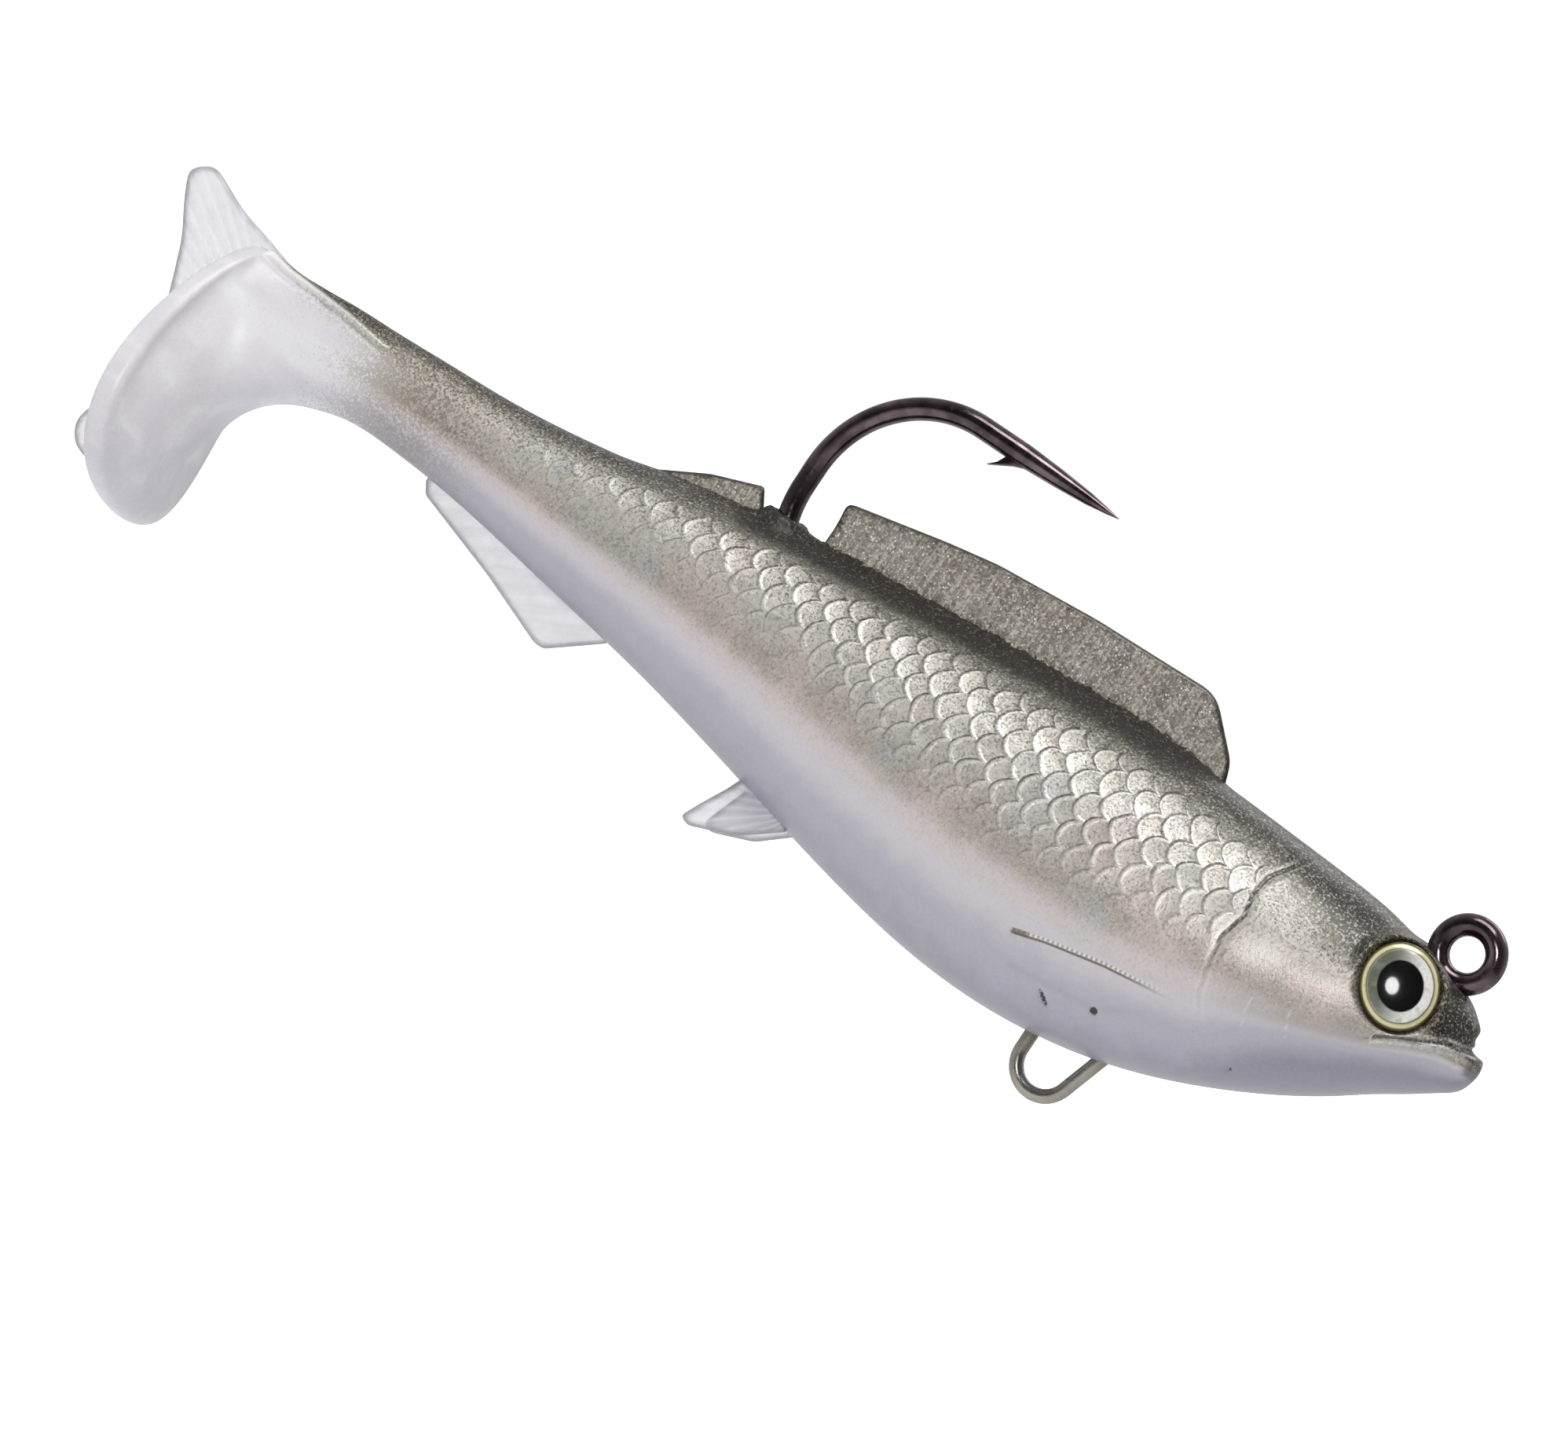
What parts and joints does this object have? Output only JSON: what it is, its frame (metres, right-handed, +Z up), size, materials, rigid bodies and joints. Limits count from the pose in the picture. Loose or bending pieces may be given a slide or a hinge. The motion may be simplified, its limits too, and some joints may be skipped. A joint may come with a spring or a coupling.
{
  "type": "weighted soft swimbait",
  "caption": "Soft plastic baitfish lure with an internal weight, an up-pointing single hook, a belly hanger, fins and a paddle tail that swings.",
  "frame": {"origin": "centre of the line-tie ring of the hook", "axes": "+X out of the nose, +Y to the fish's left, along the ring's hole, +Z up through the back"},
  "size_m": [0.1162, 0.0168, 0.0409],
  "materials": {
    "painted_soft_plastic": "soft plastic, sprayed olive-grey back, silver flank and pearl belly",
    "pearl_soft_plastic": "unpainted pearl soft plastic",
    "smoke_fin": "translucent smoke soft plastic with fine glitter",
    "clear_fin": "translucent clear soft plastic with fine rays",
    "black_nickel": "polished black nickel plate",
    "tinned_wire": "tinned spring wire",
    "lead": "cast lead",
    "eye_foil": "printed foil, pale gold rim, black pupil",
    "eye_resin": "clear domed resin"
  },
  "bodies": {
    "front": {"front_body": "painted_soft_plastic", "jig_weight": "lead", "hook": "black_nickel", "belly_hanger": "tinned_wire", "eye_disc_left": "eye_foil", "eye_disc_right": "eye_foil", "eye_dome_left": "eye_resin", "eye_dome_right": "eye_resin", "dorsal_fin": "smoke_fin", "pelvic_fin_left": "clear_fin", "pelvic_fin_right": "clear_fin"},
    "rear": {"rear_body": "painted_soft_plastic", "second_dorsal_fin": "smoke_fin", "anal_fin": "clear_fin"},
    "tail": {"tail_stem": "pearl_soft_plastic", "tail_paddle": "pearl_soft_plastic", "caudal_fin": "clear_fin"}
  },
  "joints": [
    {"name": "body_sway", "type": "hinge", "parent": "front", "child": "rear", "pos_m": [-0.06364, 0, -0.0098], "axis": [0, 0, 1], "range_deg": [-20, 20], "stiffness_Nm_per_rad": 0.0044},
    {"name": "tail_kick", "type": "hinge", "parent": "rear", "child": "tail", "pos_m": [-0.08793, 0, -0.0102], "axis": [0, 0, 1], "range_deg": [-40, 40], "stiffness_Nm_per_rad": 0.00036}
  ]
}
